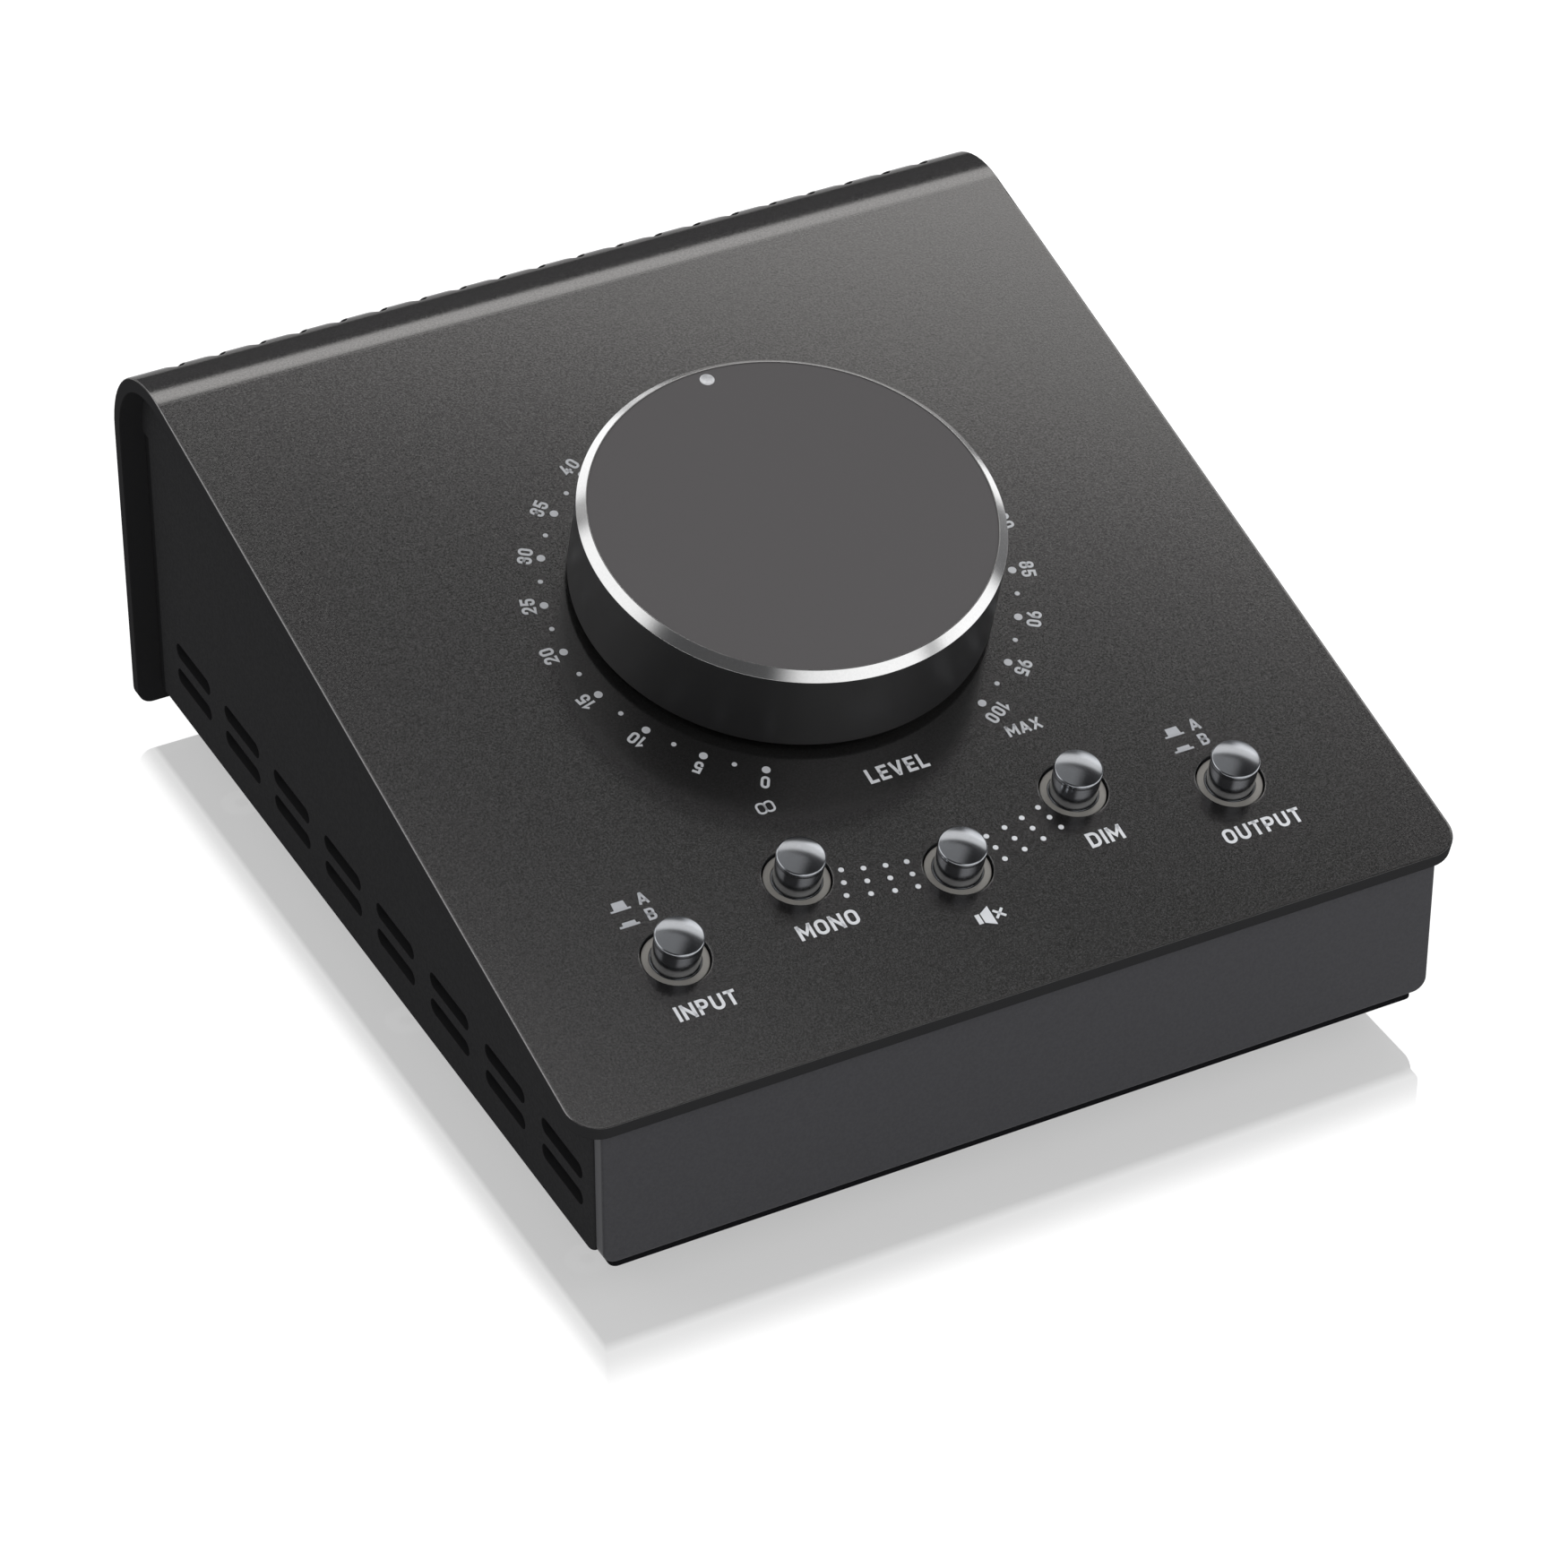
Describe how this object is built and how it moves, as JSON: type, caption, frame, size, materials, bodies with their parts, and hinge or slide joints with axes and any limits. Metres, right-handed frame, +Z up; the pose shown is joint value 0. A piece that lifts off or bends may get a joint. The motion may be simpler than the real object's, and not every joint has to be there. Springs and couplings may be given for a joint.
{
  "type": "studio monitor controller",
  "caption": "Wedge-shaped desktop monitor controller with a large volume knob, round push buttons, a bent steel hood with vent slots, and a row of rear jack sockets.",
  "frame": {"origin": "on the resting surface, under the middle of the hood's outline", "axes": "+X to the right of someone at the front, +Y to the back, +Z up"},
  "size_m": [0.128, 0.1432, 0.0696],
  "materials": {
    "powder_coat": "fine-grain charcoal powder coat",
    "powder_coat_walls": "fine-grain near-black powder coat",
    "zinc_steel": "zinc plated",
    "black_steel": "black oxide",
    "foot_rubber": "matte",
    "pot_can": "moulded, matte",
    "nickel_brass": "nickel plated",
    "board_laminate": "solder-masked glass laminate",
    "header_plastic": "moulded, matte",
    "ribbon_plastic": "flat cable jacket",
    "jack_plastic": "moulded, matte",
    "switch_plastic": "moulded, matte",
    "anodised_aluminium": "dark anodised with a bright diamond-cut chamfer",
    "core_plastic": "moulded, matte",
    "bright_aluminium": "bright turned",
    "shaft_steel": "ground",
    "dark_chrome": "dark chrome, turned",
    "plunger_plastic": "moulded, matte"
  },
  "bodies": {
    "enclosure": {"top_hood": "powder_coat", "hood_studs": "zinc_steel", "hood_nuts": "zinc_steel", "left_wall": "powder_coat_walls", "right_wall": "powder_coat_walls", "front_plate": "powder_coat_walls", "front_studs": "zinc_steel", "front_nuts": "zinc_steel", "rear_plate": "powder_coat_walls", "rear_plate_screws": "black_steel", "rear_plate_nuts": "zinc_steel", "base_plate": "powder_coat_walls", "base_screws": "black_steel", "base_nuts": "zinc_steel", "rubber_feet": "foot_rubber", "foot_screws": "black_steel", "foot_nuts": "zinc_steel", "pot_housing": "pot_can", "pot_bushing": "nickel_brass", "pot_washer": "zinc_steel", "pot_nut": "nickel_brass", "control_board": "board_laminate", "control_board_standoffs": "zinc_steel", "control_board_screws": "zinc_steel", "jack_board": "board_laminate", "jack_board_standoffs": "zinc_steel", "jack_board_screws": "zinc_steel", "control_board_header": "header_plastic", "jack_board_header": "header_plastic", "ribbon_link": "ribbon_plastic", "jack_nuts": "nickel_brass", "mini_jack_nut": "nickel_brass", "input_left_jack": "jack_plastic", "input_right_jack": "jack_plastic", "mini_input_jack": "jack_plastic", "output_a_left_jack": "jack_plastic", "output_a_right_jack": "jack_plastic", "output_b_left_jack": "jack_plastic", "output_b_right_jack": "jack_plastic", "source_switch_body": "switch_plastic", "mono_switch_body": "switch_plastic", "mute_switch_body": "switch_plastic", "dim_switch_body": "switch_plastic", "monitor_switch_body": "switch_plastic"},
    "volume_knob": {"knob_shell": "anodised_aluminium", "knob_core": "core_plastic", "knob_indicator": "bright_aluminium", "knob_hub_ring": "zinc_steel", "pot_shaft": "shaft_steel"},
    "source_button": {"source_button_cap": "dark_chrome", "source_switch_plunger": "plunger_plastic"},
    "mono_button": {"mono_button_cap": "dark_chrome", "mono_switch_plunger": "plunger_plastic"},
    "mute_button": {"mute_button_cap": "dark_chrome", "mute_switch_plunger": "plunger_plastic"},
    "dim_button": {"dim_button_cap": "dark_chrome", "dim_switch_plunger": "plunger_plastic"},
    "monitor_button": {"monitor_button_cap": "dark_chrome", "monitor_switch_plunger": "plunger_plastic"}
  },
  "joints": [
    {"name": "volume_turn", "type": "hinge", "parent": "enclosure", "child": "volume_knob", "pos_m": [0, -0.00194, 0.04842], "axis": [0, -0.2554, 0.9668], "range_deg": [-150, 150]},
    {"name": "source_press", "type": "slide", "parent": "enclosure", "child": "source_button", "axis": [0, 0.2554, -0.9668], "range_m": [0, 0.003], "stiffness_N_per_m": 400, "springref_m": -0.002},
    {"name": "mono_press", "type": "slide", "parent": "enclosure", "child": "mono_button", "axis": [0, 0.2554, -0.9668], "range_m": [0, 0.003], "stiffness_N_per_m": 400, "springref_m": -0.002},
    {"name": "mute_press", "type": "slide", "parent": "enclosure", "child": "mute_button", "axis": [0, 0.2554, -0.9668], "range_m": [0, 0.003], "stiffness_N_per_m": 400, "springref_m": -0.002},
    {"name": "dim_press", "type": "slide", "parent": "enclosure", "child": "dim_button", "axis": [0, 0.2554, -0.9668], "range_m": [0, 0.003], "stiffness_N_per_m": 400, "springref_m": -0.002},
    {"name": "monitor_press", "type": "slide", "parent": "enclosure", "child": "monitor_button", "axis": [0, 0.2554, -0.9668], "range_m": [0, 0.003], "stiffness_N_per_m": 400, "springref_m": -0.002}
  ]
}
